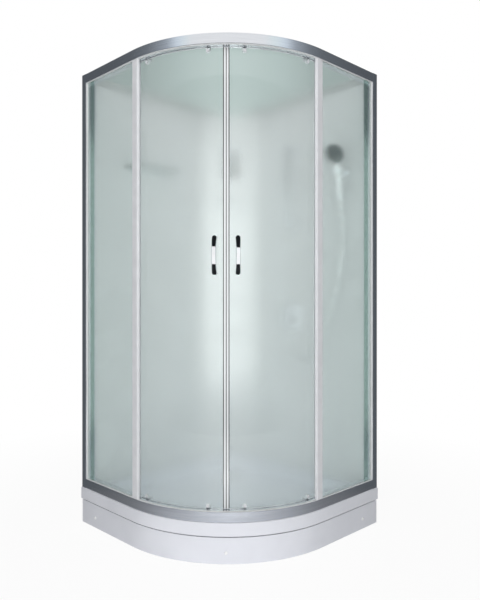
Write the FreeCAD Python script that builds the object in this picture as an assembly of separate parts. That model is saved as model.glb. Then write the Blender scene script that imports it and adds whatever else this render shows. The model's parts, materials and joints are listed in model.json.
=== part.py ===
import FreeCAD, Part
import math
import os

# Corner shower cabin. Millimetres, Z up, the floor at Z = 0 and the middle of the square footprint
# at X = Y = 0. The room's corner is at -X, +Y and the rounded front faces +X, -Y. The enclosure is
# symmetric about that diagonal, so pieces of the left side are modelled once and mirrored.

V = FreeCAD.Vector
ORIGIN = V(0, 0, 0)
UP = V(0, 0, 1)
ALONG_X = V(1, 0, 0)
ALONG_Y = V(0, 1, 0)
MIRROR_NORMAL = V(1, 1, 0)
DIAGONAL_DEG = -45.0
LEFT_DEG = -90.0

# Whole cabin
side = 900.0
front_radius = 520.0
cabin_height = 1915.0
tray_height = 149.0
running_gap = 0.3
fit_gap = 0.1
overrun = 30.0

# Tray
tray_wall = 5.0
lip_height = 49.0
rim_width = 62.0
rim_round = 4.0
basin_depth = 42.0
basin_slope = 16.0
basin_corner = 60.0
basin_round = 9.0
rib_height = 1.2
rib_width = 10.0
rib_pitch = 44.0
rib_count = 7

# Drain
drain_inset = 240.0
drain_bore = 40.0
drain_sleeve = 3.0
drain_sleeve_depth = 16.0
drain_flange_width = 14.0
drain_flange_height = 2.5
gasket_height = 2.5
trap_radius = 53.0
trap_wall = 3.0
trap_floor = 12.0
trap_collar = 10.0
spigot_radius = 20.0
spigot_wall = 2.5
spigot_clear = 11.0
spigot_setback = 2.0
spigot_hub_radius = 26.0
spigot_hub_length = 16.0
cover_height = 4.0
cover_overlap = 10.0
cover_skirt = 3.0
cover_skirt_depth = 12.0
cover_slot_width = 4.0
cover_slot_length = 22.0
cover_slot_count = 8

# Base frame, feet and apron
tube_size = 25.0
tube_wall = 2.0
base_offset = 70.0
front_bar_margin = 63.5
rod_radius = 6.0
pad_radius = 24.0
pad_height = 9.0
nut_radius = 11.0
nut_height = 8.0
rod_tip = 14.0
apron_inset = 4.0
apron_wall = 3.5
apron_gap = 5.0
apron_flange = 22.0
apron_screw_inset = 107.0
apron_screw_height = 40.0
cap_radius = 6.5
cap_height = 2.5
screw_radius = 2.2
bracket_width = 26.0
bracket_wall = 3.0
bracket_tab = 14.0

# Frame rails and posts
frame_inset = 3.0
rail_height = 38.0
rail_depth = 43.0
rail_wall = 2.5
rail_round = 2.0
groove_width = 12.0
groove_depth = 25.0
divider_wall = 2.0
track_wall = 3.0
track_lip = 1.5
track_lip_height = 2.5
post_width = 30.0
post_depth = 49.0
post_wall = 2.0
post_groove_depth = 15.0
wall_groove_depth = 12.0
frame_screw_radius = 2.0
frame_screw_head = 4.5
frame_screw_head_height = 1.6
frame_screw_length = 38.0
stop_length = 10.0
stop_inset = 143.1

# Fixed panes, gaskets and stiles
glass = 5.0
pane_seat = 3.0
pane_past_arc = 20.0
gasket_lip_side = 8.0
gasket_lip_rail = 3.0
arc_strip_rise = 1.0
stile_width = 32.0
stile_past_arc = 26.0
stile_face = 3.4
stile_fin = 4.0

# Sliding doors
door_depth = 40.0
door_gap = 2.5
door_start_deg = -0.3
magnet_head = 8.0
magnet_depth = 12.0
magnet_round = 3.0
seal_wall = 1.4
seal_grip = 4.0
fin_wall = 2.0
fin_clear = 4.6
fin_lap = 2.4
fin_side_gap = 1.5

# Roller hangers
leading_roller_deg = 8.1
trailing_roller_deg = 40.0
wheel_radius = 10.0
wheel_width = 7.0
wheel_clear = 6.5
wheel_dish = 1.5
axle_radius = 3.0
axle_fit = 0.05
axle_head = 4.5
axle_head_height = 1.5
hanger_width = 16.0
hanger_wall = 4.0
hanger_drop = 16.0
hanger_clear = 10.7
clamp_drop = 8.5
clamp_radius = 6.0
clamp_height = 3.0
clamp_bolt_radius = 3.0
bolt_play = 1.0

# Door handles
handle_deg = 5.0
handle_height = 1115.0
handle_length = 146.0
handle_width = 18.0
handle_waist = 16.0
handle_reach = 36.0
handle_foot = 16.0
handle_foot_reach = 10.0
handle_bow = 9.0
handle_round = 2.0
handle_screw_radius = 3.0
handle_screw_depth = 6.0
handle_knob_radius = 9.0
handle_knob_height = 6.0

# Back walls and corner
wall_inset = 24.0
wall_panel = 4.0
wall_trim_height = 25.0
wall_trim_wall = 3.5
wall_trim_lap = 6.0
corner_leg = 42.0
corner_wall = 4.0

# Corner column
column_depth = 139.0
column_wall = 4.0
column_taper_start = 628.0
column_foot = 317.0
column_foot_depth = 3.0
top_shelf_drop = 428.0
lower_shelf_rises = (322.0, 154.0)
column_shelf_width = 190.0
column_shelf_reach = 72.0
column_shelf_wall = 7.0
mirror_width = 82.0
mirror_drop = 152.0
mirror_height = 169.0
mirror_wall = 4.0
mirror_corner = 8.0

# Shelf on the left wall
shelf_start = -250.0
shelf_length = 250.0
shelf_reach = 110.0
shelf_drop = 345.0
shelf_wall = 6.0
shelf_corner = 18.0
shelf_bracket_inset = 45.0
shelf_bracket_radius = 11.0
shelf_bracket_reach = 34.0
shelf_bracket_rosette = 17.0
shelf_bracket_rosette_height = 5.0

# Upright bar on the right wall
bar_place = 0.0
bar_drop = 205.0
bar_length = 390.0
bar_standoff = 45.0
bar_radius = 11.0
bar_post_radius = 8.0
bar_rosette_radius = 23.0
bar_rosette_height = 6.0

# Mixer on the right wall
mixer_place = 0.0
mixer_width = 94.0
mixer_plate = 9.0
mixer_corner = 32.0
mixer_round = 3.0
hub_height = 897.0
mixer_above_hub = 44.0
mixer_below_hub = 94.0
hub_radius = 25.0
hub_reach = 22.0
spindle_radius = 8.0
spindle_reach = 7.0
collar_radius = 22.0
collar_reach = 28.0
lever_width = 10.0
lever_pin_radius = 2.5
lever_root_radius = 7.0
lever_pin_setback = 12.0
lever_length = 86.0
lever_wall = 8.0
lever_end_width = 17.0
lever_lean_deg = 22.0
outlet_below_hub = 75.0
outlet_reach = 30.0
outlet_radius = 11.0
nipple_radius = 9.0
nipple_drop = 27.0
inlet_spacing = 60.0
inlet_below_hub = 25.0
inlet_radius = 10.48
inlet_setback = 1.0
inlet_nut_radius = 15.0
inlet_nut_height = 6.0

# Hand shower, holder and hose
hand_place = 295.0
hand_bottom = 1411.0
hand_standoff = 37.0
hand_tilt_deg = 8.0
grip_length = 186.0
grip_radius = 14.0
grip_end_radius = 11.5
hand_nipple_radius = 8.0
hand_nipple_length = 14.0
head_radius = 43.0
head_wall = 17.0
head_face_radius = 36.0
head_face_step = 2.0
head_lean_deg = 28.0
holder_up = 104.0
holder_height = 28.0
holder_radius = 20.0
holder_slot = 19.0
holder_arm_radius = 9.0
holder_rosette_radius = 22.0
holder_rosette_height = 8.0
hose_radius = 7.0
hose_nut_radius = 11.5
hose_nut_length = 20.0
hose_nut_lap = 12.0
hose_bend_share = 0.45
hose_route = [
    (295.0, 391.0, 1396.5),
    (296.0, 403.0, 1310.0),
    (300.0, 406.0, 1210.0),
    (292.0, 402.0, 1110.0),
    (272.0, 398.0, 1010.0),
    (241.0, 393.0, 911.0),
    (203.0, 389.0, 810.0),
    (167.0, 387.0, 712.0),
    (109.0, 386.0, 678.0),
    (43.0, 387.0, 684.0),
    (0.0, 387.0, 734.0),
    (0.0, 387.0, 792.0),
]

# Worked out from the sizes above
half = side / 2
arc_x = half - front_radius
arc_y = -arc_x
arc_centre = V(arc_x, arc_y, 0)
lip_bottom = tray_height - lip_height
floor_z = tray_height - basin_depth
frame_top = floor_z - tray_wall
spigot_height = frame_top - tube_size - spigot_clear - spigot_radius
rail_top_bottom = cabin_height - rail_height
rail_bottom_top = tray_height + rail_height
middle_height = (tray_height + cabin_height) / 2
groove_start = frame_inset + rail_wall
groove_end = groove_start + groove_width
pane_depth = groove_start + (groove_width - glass) / 2
channel_start = groove_end + divider_wall
rail_inner = frame_inset + rail_depth
post_face = -half + frame_inset + post_width
pane_bottom = rail_bottom_top - groove_depth + pane_seat
pane_top = rail_top_bottom + groove_depth - pane_seat
pane_start = post_face - post_groove_depth + pane_seat
pane_end = arc_x + pane_past_arc
stile_end = arc_x + stile_past_arc
stile_start = stile_end - stile_width
stile_back = pane_depth + glass + stile_face
fin_tip_radius = front_radius - stile_back - fin_clear
door_radius = front_radius - door_depth
door_outer = door_radius + glass / 2
door_inner = door_radius - glass / 2
door_bottom = rail_bottom_top + door_gap
door_top = rail_top_bottom - door_gap
door_trail_deg = LEFT_DEG + door_start_deg
fin_end_deg = door_trail_deg + math.degrees(fin_wall / door_radius)
wheel_offset = front_radius - rail_inner + wheel_clear + wheel_width / 2 - door_radius
axle_height = rail_top_bottom + track_wall + running_gap + wheel_radius
wall_face = half - wall_inset
wall_back = wall_face + wall_panel
wall_top = cabin_height - wall_trim_height
column_top = wall_top - wall_trim_lap
mirror_top = column_top - mirror_drop
mirror_bottom = mirror_top - mirror_height
shelf_height = wall_top - shelf_drop
bar_top = wall_top - bar_drop
bar_bottom = bar_top - bar_length
mixer_top = hub_height + mixer_above_hub
mixer_bottom = hub_height - mixer_below_hub
outlet_height = hub_height - outlet_below_hub
inlet_height = hub_height - inlet_below_hub
drain_x = -half + drain_inset
drain_y = half - drain_inset
base_line = half - base_offset


def box(x0, x1, y0, y1, z0, z1):
    """Solid block between two corners."""
    return Part.makeBox(x1 - x0, y1 - y0, z1 - z0, V(x0, y0, z0))


def rod(radius, start, end):
    """Round bar between two points."""
    return Part.makeCylinder(radius, (end - start).Length, start, end - start)


def mirrored(shape):
    """The same piece on the other side of the cabin's diagonal."""
    return shape.mirror(ORIGIN, MIRROR_NORMAL)


def both_sides(name, shape):
    """Write a left piece and its mirrored right twin."""
    write("left_" + name, shape)
    write("right_" + name, mirrored(shape))


def write(name, shape):
    shape.exportStep("parts/" + name + ".step")
    counts = (len(shape.Solids), shape.isValid())
    print(name, counts, round(shape.Volume / 1000.0, 2))


def polygon(points):
    """Face of a closed outline."""
    return Part.Face(Part.makePolygon(list(points) + [points[0]]))


def rounded_outline(corners):
    """Closed wire through (point, radius) corners, with an arc at each corner that has a radius."""
    edges = []
    ends = []
    count = len(corners)
    for i in range(count):
        point, radius = corners[i]
        before = corners[i - 1][0] - point
        after = corners[(i + 1) % count][0] - point
        if radius <= 0:
            ends.append((point, point))
            continue
        half_angle = before.getAngle(after) / 2
        reach = radius / math.tan(half_angle)
        start = point + before.normalize() * reach
        end = point + after.normalize() * reach
        bisector = (before + after).normalize()
        middle = point + bisector * (radius / math.sin(half_angle) - radius)
        ends.append((start, end))
        edges.append((i, Part.Arc(start, middle, end).toShape()))
    arcs = dict(edges)
    loop = []
    for i in range(count):
        if i in arcs:
            loop.append(arcs[i])
        start = ends[i][1]
        end = ends[(i + 1) % count][0]
        if (end - start).Length > 0:
            loop.append(Part.makeLine(start, end))
    return Part.Wire(loop)


def quadrant(inset, corner, z):
    """Outline of the footprint, drawn in from the tray's edge, with rounded square corners."""
    h = half - inset
    r = front_radius - inset
    turn = math.radians(DIAGONAL_DEG)
    middle = V(arc_x, arc_y, z) + V(math.cos(turn), math.sin(turn), 0) * r
    arc = Part.Arc(V(arc_x, -h, z), middle, V(h, arc_y, z)).toShape()
    squares = [V(h, h, z), V(-h, h, z), V(-h, -h, z)]
    edges = [arc]
    start = V(h, arc_y, z)
    targets = squares + [V(arc_x, -h, z)]
    for i, corner_point in enumerate(squares):
        to_next = (targets[i + 1] - corner_point).normalize()
        to_last = (start - corner_point).normalize()
        if corner > 0:
            arc_start = corner_point + to_last * corner
            arc_end = corner_point + to_next * corner
            inner = corner_point + (to_last + to_next) * corner
            arc_middle = inner + (corner_point - inner).normalize() * corner
            edges.append(Part.makeLine(start, arc_start))
            edges.append(Part.Arc(arc_start, arc_middle, arc_end).toShape())
            start = arc_end
        else:
            edges.append(Part.makeLine(start, corner_point))
            start = corner_point
    edges.append(Part.makeLine(start, V(arc_x, -h, z)))
    return Part.Wire(edges)


def along_front(corners, start_x):
    """Sweep a section of ((depth from the tray's edge, height), radius) corners round the front."""
    places = [(V(start_x, -half + depth, z), radius) for (depth, z), radius in corners]
    face = Part.Face(rounded_outline(places))
    straight = face.extrude(V(arc_x - start_x, 0, 0))
    at_arc = face.translated(V(arc_x - start_x, 0, 0))
    curve = at_arc.revolve(arc_centre, UP, -LEFT_DEG)
    return straight.fuse([curve, mirrored(straight)]).removeSplitter()


def ring(r0, r1, start_deg, end_deg, z0, z1):
    """Curved strip about the axis of the rounded front."""
    face = polygon([V(r0, 0, z0), V(r1, 0, z0), V(r1, 0, z1), V(r0, 0, z1)])
    strip = face.revolve(ORIGIN, UP, end_deg - start_deg)
    strip.rotate(ORIGIN, UP, start_deg)
    return strip.translated(arc_centre)


def at_front(shape, turn_deg, radius):
    """Place a piece built with +X outward onto the rounded front, turned from the diagonal."""
    placed = shape.copy()
    placed.translate(V(radius, 0, 0))
    placed.rotate(ORIGIN, UP, DIAGONAL_DEG + turn_deg)
    return placed.translated(arc_centre)


def upside_down(shape):
    """The same piece at the other end of the door."""
    return shape.mirror(V(0, 0, middle_height), UP)


def edges_at(shape, z):
    """Edges that lie at one height."""
    found = []
    for e in shape.Edges:
        if abs(e.BoundBox.ZMin - z) < fit_gap and abs(e.BoundBox.ZMax - z) < fit_gap:
            found.append(e)
    return found


def grouped(solids):
    return Part.makeCompound(solids)


def make_tray():
    outer = Part.Face(quadrant(0, 0, lip_bottom)).extrude(UP * lip_height)
    outer = outer.makeFillet(rim_round, edges_at(outer, tray_height))
    rim_edge = quadrant(rim_width, basin_corner, tray_height)
    floor_edge = quadrant(rim_width + basin_slope, basin_corner, floor_z)
    basin = Part.makeLoft([floor_edge, rim_edge], True, True)
    basin = basin.makeFillet(basin_round, edges_at(basin, floor_z))
    under_rim = quadrant(rim_width - tray_wall, basin_corner, tray_height)
    under_floor = quadrant(rim_width + basin_slope - tray_wall, basin_corner, frame_top)
    pan = Part.makeLoft([under_floor, under_rim], True, True)
    hollow = Part.Face(quadrant(tray_wall, 0, lip_bottom)).extrude(UP * (lip_height - tray_wall))
    tray = outer.cut(hollow).fuse(pan).cut(basin).removeSplitter()
    ribs = []
    for i in range(rib_count):
        radius = front_radius - rim_width - basin_slope - rib_pitch * (i + 1)
        ribs.append(ring(radius - rib_width, radius, LEFT_DEG, 0, floor_z, floor_z + rib_height))
    tray = tray.fuse(ribs)
    hole = drain_bore + drain_sleeve + fit_gap
    return tray.cut(Part.makeCylinder(hole, tray_height, V(drain_x, drain_y, 0)))


def turned(profile, axis_point):
    """Solid of revolution about an upright axis, from (radius, height) points."""
    face = polygon([axis_point + V(r, 0, z) for r, z in profile])
    return face.revolve(axis_point, UP, 360.0)


def make_drain():
    spot = V(drain_x, drain_y, 0)
    sleeve = drain_bore + drain_sleeve
    top = floor_z + drain_flange_height
    flange = turned([
        (drain_bore, frame_top - drain_sleeve_depth),
        (sleeve, frame_top - drain_sleeve_depth),
        (sleeve, floor_z),
        (sleeve + drain_flange_width, floor_z),
        (sleeve + drain_flange_width - drain_flange_height, top),
        (drain_bore, top),
    ], spot)
    write("drain_flange", flange)
    neck = sleeve + fit_gap
    gasket_low = frame_top - gasket_height
    washer = turned([
        (neck, gasket_low),
        (trap_radius, gasket_low),
        (trap_radius, frame_top),
        (neck, frame_top),
    ], spot)
    write("drain_gasket", washer)
    inside = trap_radius - trap_wall
    cup = turned([
        (0, trap_floor),
        (trap_radius, trap_floor),
        (trap_radius, gasket_low),
        (neck, gasket_low),
        (neck, gasket_low - trap_collar),
        (inside, gasket_low - trap_collar - (inside - neck)),
        (inside, trap_floor + trap_wall),
        (0, trap_floor + trap_wall),
    ], spot)
    exit_start = V(drain_x, drain_y, spigot_height)
    exit_end = V(drain_x, half - spigot_setback, spigot_height)
    spigot = rod(spigot_radius, exit_start, exit_end)
    hub_end = V(drain_x, drain_y + trap_radius + spigot_hub_length, spigot_height)
    outlet = spigot.fuse(rod(spigot_hub_radius, exit_start, hub_end))
    bore = rod(spigot_radius - spigot_wall, exit_start, exit_end + ALONG_Y * overrun)
    well_floor = trap_floor + trap_wall
    well = Part.makeCylinder(inside, gasket_low - well_floor - trap_collar, spot + UP * well_floor)
    write("drain_trap", cup.fuse(outlet.cut(well)).cut(bore))
    cover_radius = drain_bore + cover_overlap
    skirt = drain_bore - 2 * running_gap
    cover_low = top + running_gap
    cover = turned([
        (skirt - cover_skirt, top - cover_skirt_depth),
        (skirt, top - cover_skirt_depth),
        (skirt, cover_low),
        (cover_radius, cover_low),
        (cover_radius - cover_height, cover_low + cover_height),
        (0, cover_low + cover_height),
        (0, cover_low),
        (skirt - cover_skirt, cover_low),
    ], spot)
    slots = []
    slot_start = skirt - cover_skirt - cover_slot_length - cover_slot_width
    for i in range(cover_slot_count):
        half_slot = cover_slot_width / 2
        low = cover_low - overrun
        high = cover_low + overrun
        slot = box(slot_start, slot_start + cover_slot_length, -half_slot, half_slot, low, high)
        slot.rotate(ORIGIN, UP, 360.0 * i / cover_slot_count)
        slots.append(slot.translated(spot))
    write("drain_cover", cover.cut(slots))


def tube(start, end):
    """Square tube and its bore between two points of the base frame's centre lines."""
    length = (end - start).Length
    half_size = tube_size / 2
    half_bore = half_size - tube_wall
    low = frame_top - tube_size
    bar = box(0, length, -half_size, half_size, low, frame_top)
    bore_low = low + tube_wall
    bore_high = frame_top - tube_wall
    bore = box(-tube_wall, length + tube_wall, -half_bore, half_bore, bore_low, bore_high)
    turn = math.degrees(math.atan2(end.y - start.y, end.x - start.x))
    placed = []
    for piece in (bar, bore):
        piece.rotate(ORIGIN, UP, turn)
        placed.append(piece.translated(start))
    return placed


def strut_end():
    """Distance along the diagonal from the middle of the cabin to the outer end of the front strut."""
    return arc_x * math.sqrt(2) + front_radius - base_offset + tube_size / 2 - running_gap


def front_bar_end():
    """Free end of the front bar, short of the apron's flange on the rounded front."""
    flange = front_radius - apron_inset - apron_flange
    outer_face = front_radius - base_offset + tube_size / 2
    return arc_x + math.sqrt(flange ** 2 - outer_face ** 2) - front_bar_margin


def foot_places():
    front = front_bar_end() - tube_size
    reach = (strut_end() - tube_size) * math.cos(math.radians(DIAGONAL_DEG))
    return [
        (-base_line, -base_line),
        (base_line, base_line),
        (-base_line, base_line),
        (front, -base_line),
        (base_line, -front),
        (0, 0),
        (reach, -reach),
    ]


def make_base():
    b = base_line
    e = tube_size / 2
    reach = strut_end() * math.cos(math.radians(DIAGONAL_DEG))
    left = tube(V(-b, -b - e, 0), V(-b, b + e, 0))
    front = tube(V(-b + e, -b, 0), V(front_bar_end(), -b, 0))
    cross = tube(V(-b + e, -b + e, 0), V(b - e, b - e, 0))
    strut = tube(V(0, 0, 0), V(reach, -reach, 0))
    back = [mirrored(s) for s in tube(V(-b, -b - e, 0), V(-b, b - e, 0))]
    right = [mirrored(s) for s in front]
    sets = [left, front, cross, strut, back, right]
    frame = sets[0][0].fuse([s[0] for s in sets[1:]]).removeSplitter()
    frame = frame.cut([s[1] for s in sets])
    low = frame_top - tube_size
    feet = []
    nuts = []
    holes = []
    for x, y in foot_places():
        spot = V(x, y, 0)
        tip = low + rod_tip
        holes.append(Part.makeCylinder(rod_radius + fit_gap, rod_tip, spot + UP * (low - tube_wall)))
        feet.append(turned([
            (0, 0),
            (pad_radius, 0),
            (pad_radius - pad_height / 3, pad_height),
            (rod_radius, pad_height),
            (rod_radius, tip - tube_wall),
            (0, tip - tube_wall),
        ], spot))
        nut = Part.Face(hexagon(nut_radius, spot + UP * (low - nut_height))).extrude(UP * nut_height)
        nuts.append(nut.cut(Part.makeCylinder(rod_radius + fit_gap, low, spot)))
    write("base_frame", frame.cut(holes))
    write("levelling_feet", grouped(feet))
    write("foot_nuts", grouped(nuts))


def hexagon(radius, centre):
    points = []
    for i in range(6):
        a = math.radians(60.0 * i)
        points.append(centre + V(math.cos(a), math.sin(a), 0) * radius)
    return Part.makePolygon(points + [points[0]])


def make_apron():
    d0 = apron_inset
    d1 = d0 + apron_wall
    top = lip_bottom - apron_gap
    section = [
        ((d0, 0), 0),
        ((d0, top), 0),
        ((d0 + apron_flange, top), 0),
        ((d0 + apron_flange, top - apron_wall), 0),
        ((d1, top - apron_wall), 0),
        ((d1, 0), 0),
    ]
    apron = along_front(section, -half + apron_inset)
    back = front_radius - d1
    spread = base_offset - tube_size / 2 - d1
    centre = UP * apron_screw_height
    outside = centre + ALONG_X * apron_wall
    screw = rod(screw_radius, centre - ALONG_X * (2 * bracket_wall), outside)
    dome = turned([
        (0, 0),
        (cap_radius, 0),
        (cap_radius - cap_height / 2, cap_height),
        (0, cap_height),
    ], ORIGIN)
    dome.rotate(ORIGIN, ALONG_Y, 90.0)
    screw = screw.fuse(dome.translated(outside))
    hole = rod(screw_radius + fit_gap, centre - ALONG_X * spread, centre + ALONG_X * overrun)
    low = apron_screw_height - bracket_tab
    high = apron_screw_height + bracket_tab
    t = bracket_wall
    leg_top = frame_top - tube_wall
    strip = polygon([
        V(0, 0, low),
        V(0, 0, high),
        V(t - spread, 0, high),
        V(t - spread, 0, leg_top),
        V(-spread, 0, leg_top),
        V(-spread, 0, high - t),
        V(-t, 0, high - t),
        V(-t, 0, low),
    ])
    bracket = strip.translated(V(0, -bracket_width / 2, 0)).extrude(ALONG_Y * bracket_width).cut(hole)
    curved_seat = math.sqrt(back ** 2 - (bracket_width / 2) ** 2)
    spots = []
    for piece, seat in ((bracket, curved_seat), (screw, back), (hole, back)):
        middle = at_front(piece, 0, seat)
        flat = piece.copy()
        flat.rotate(ORIGIN, UP, LEFT_DEG)
        flat = flat.translated(V(-half + apron_screw_inset, -half + d1, 0))
        spots.append([flat, mirrored(flat), middle])
    write("apron", apron.cut(spots[2]))
    write("apron_brackets", grouped(spots[0]))
    write("apron_screws", grouped(spots[1]))


def rail_section(height_of):
    """Section of a rail: glazing groove outside, roller track inside. height_of maps a distance
    from the rail's open edge to a height."""
    d0 = frame_inset
    top = rail_height
    ceiling = rail_height - track_wall
    lip_edge = rail_inner - track_lip
    lip_top = track_wall + track_lip_height
    points = [
        ((d0, 0), rail_round / 2),
        ((d0, top), rail_round),
        ((rail_inner, top), 0),
        ((rail_inner, ceiling), 0),
        ((channel_start, ceiling), 0),
        ((channel_start, track_wall), 0),
        ((lip_edge, track_wall), 0),
        ((lip_edge, lip_top), 0),
        ((rail_inner, lip_top), 0),
        ((rail_inner, 0), 0),
        ((groove_end, 0), 0),
        ((groove_end, groove_depth), 0),
        ((groove_start, groove_depth), 0),
        ((groove_start, 0), 0),
    ]
    return [((d, height_of(z)), r) for (d, z), r in points]


def frame_screw_places():
    """Heights of the screws that tie each post to its rails, in the solid back of the rails."""
    rise = (rail_height + groove_depth) / 2
    return [rail_top_bottom + rise, rail_bottom_top - rise]


def make_rails():
    bores = []
    screws = []
    depth = (groove_start + groove_end) / 2
    outer_x = -half + frame_inset
    for z in frame_screw_places():
        start = V(outer_x, -half + depth, z)
        shank = rod(frame_screw_radius, start, start + ALONG_X * frame_screw_length)
        head = rod(frame_screw_head, start - ALONG_X * frame_screw_head_height, start)
        screw = shank.fuse(head)
        bore = rod(frame_screw_radius + fit_gap, start, start + ALONG_X * (frame_screw_length + fit_gap))
        screws += [screw, mirrored(screw)]
        bores += [bore, mirrored(bore)]
    top = along_front(rail_section(lambda z: rail_top_bottom + z), post_face)
    bottom = along_front(rail_section(lambda z: rail_bottom_top - z), post_face)
    write("top_rail", top.cut(bores))
    write("bottom_rail", bottom.cut(bores))
    write("frame_screws", grouped(screws))
    x0 = -half + frame_inset
    y0 = -half + frame_inset
    post = box(x0, post_face, y0, y0 + post_depth, tray_height, cabin_height)
    groove_x = post_face - post_groove_depth
    low = tray_height - overrun
    high = cabin_height + overrun
    pane_groove = box(groove_x, post_face + overrun, -half + groove_start, -half + groove_end, low, high)
    slot_y = y0 + post_depth - wall_groove_depth
    wall_groove = box(-wall_back - fit_gap, -wall_face + fit_gap, slot_y, slot_y + overrun, low, high)
    cavity_x = -wall_back - post_wall
    cavity_y = -half + groove_end + post_wall
    hollow = box(x0 + post_wall, cavity_x, cavity_y, slot_y + wall_groove_depth - post_wall, low, high)
    post = post.cut([pane_groove, wall_groove, hollow, bores[0], bores[2]])
    both_sides("post", post)


def make_stops():
    """Rubber stops in the roller tracks, where the trailing wheels end their run."""
    start = post_face + stop_inset
    depth0 = channel_start
    depth1 = rail_inner - track_lip - fit_gap
    low = rail_top_bottom + track_wall
    high = cabin_height - track_wall
    stop = box(start, start + stop_length, -half + depth0, -half + depth1, low, high)
    stops = [stop, upside_down(stop)]
    write("door_stops", grouped(stops + [mirrored(s) for s in stops]))


def arc_strips(bed_low):
    """Filler strips in the grooves of both rails, from stile to stile."""
    r0 = front_radius - groove_end + running_gap
    r1 = front_radius - groove_start - running_gap
    start_deg = math.degrees(math.asin((stile_past_arc + running_gap) / r0))
    strip = ring(r0, r1, LEFT_DEG + start_deg, -start_deg, bed_low, rail_bottom_top + arc_strip_rise)
    return [strip, upside_down(strip)]


def make_fixed_panes():
    y0 = -half + pane_depth
    y1 = y0 + glass
    pane = box(pane_start, pane_end, y0, y1, pane_bottom, pane_top)
    both_sides("fixed_glass", pane)
    g0 = -half + groove_start + fit_gap
    g1 = -half + groove_end - fit_gap
    low = rail_bottom_top
    high = rail_top_bottom
    inner_x = post_face - post_groove_depth + fit_gap
    strip_end = stile_start - fit_gap
    upright = box(inner_x, post_face + gasket_lip_side, g0, g1, low, high)
    strip_start = post_face + fit_gap
    bed_low = pane_bottom - pane_seat + fit_gap
    bed_high = pane_top + pane_seat - fit_gap
    lower = box(strip_start, strip_end, g0, g1, bed_low, low + gasket_lip_rail)
    upper = box(strip_start, strip_end, g0, g1, high - gasket_lip_rail, bed_high)
    gasket = upright.fuse([lower, upper]).removeSplitter().cut(pane)
    strips = arc_strips(bed_low)
    write("glazing_gaskets", grouped([gasket, mirrored(gasket)] + strips))
    face_y = y0 - stile_face
    back_y = -half + stile_back
    bottom = low + running_gap
    top = high - running_gap
    stile = box(stile_start, stile_end, face_y, back_y, bottom, top)
    fin_x = arc_x + fin_tip_radius * math.cos(math.radians(fin_end_deg)) + fin_side_gap
    fin = box(fin_x, fin_x + stile_fin, back_y, back_y + fin_clear + fin_lap, bottom, top)
    edges = [e for e in stile.Edges if e.BoundBox.ZLength > glass and e.BoundBox.YMax < y0]
    stile = stile.makeFillet(stile_face / 2, edges)
    slot_end = pane_end + fit_gap
    slot_y0 = y0 - fit_gap
    slot_y1 = y1 + fit_gap
    slot = box(stile_start - overrun, slot_end, slot_y0, slot_y1, bottom - overrun, top + overrun)
    both_sides("stile", stile.fuse(fin).removeSplitter().cut(slot))


def lead_edge_deg(distance):
    """Angle on the door's arc at a distance from the meeting line."""
    return DIAGONAL_DEG - math.degrees(distance / door_radius)


def make_doors():
    bores = []
    clamp_z = clamp_height_z()
    for turn in (leading_roller_deg, trailing_roller_deg):
        bolt = rod(clamp_bolt_radius + bolt_play, V(-overrun, 0, clamp_z), V(overrun, 0, clamp_z))
        bolt = at_front(bolt, -turn, door_radius)
        bores += [bolt, upside_down(bolt)]
    for z in handle_screw_heights():
        bore = rod(handle_screw_radius + bolt_play, V(-overrun, 0, z), V(overrun, 0, z))
        bores.append(at_front(bore, -handle_deg, door_radius))
    edge_deg = lead_edge_deg(magnet_head)
    pane = ring(door_inner, door_outer, door_trail_deg, edge_deg, door_bottom, door_top)
    both_sides("door_glass", pane.cut(bores))

    head0 = door_radius - magnet_depth / 2
    head1 = door_radius + magnet_depth / 2
    head = ring(head0, head1, edge_deg, lead_edge_deg(running_gap / 2), door_bottom, door_top)
    edges = [e for e in head.Edges if e.BoundBox.ZLength > magnet_depth]
    meeting = [e for e in edges if abs(e.CenterOfMass.x + e.CenterOfMass.y) < magnet_head / 2]
    head = head.makeFillet(magnet_round, meeting)
    grip0 = door_inner - seal_wall
    grip1 = door_outer + seal_wall
    grip = ring(grip0, grip1, lead_edge_deg(magnet_head + seal_grip), edge_deg, door_bottom, door_top)
    both_sides("magnet_seal", head.fuse(grip).cut(pane))

    gap_deg = math.degrees(running_gap / door_radius)
    wall_deg = math.degrees(seal_wall / door_radius)
    grip_deg = math.degrees(seal_grip / door_radius)
    clip_start = door_trail_deg - wall_deg - gap_deg
    clip = ring(grip0, grip1, clip_start, door_trail_deg + grip_deg, door_bottom, door_top)
    fin = ring(door_outer, fin_tip_radius, door_trail_deg, fin_end_deg, door_bottom, door_top)
    both_sides("edge_seal", clip.fuse(fin).cut(pane))


def clamp_height_z():
    return door_top - clamp_drop


def handle_screw_heights():
    offset = handle_length / 2 - handle_foot / 2
    return [handle_height - offset, handle_height + offset]


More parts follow.
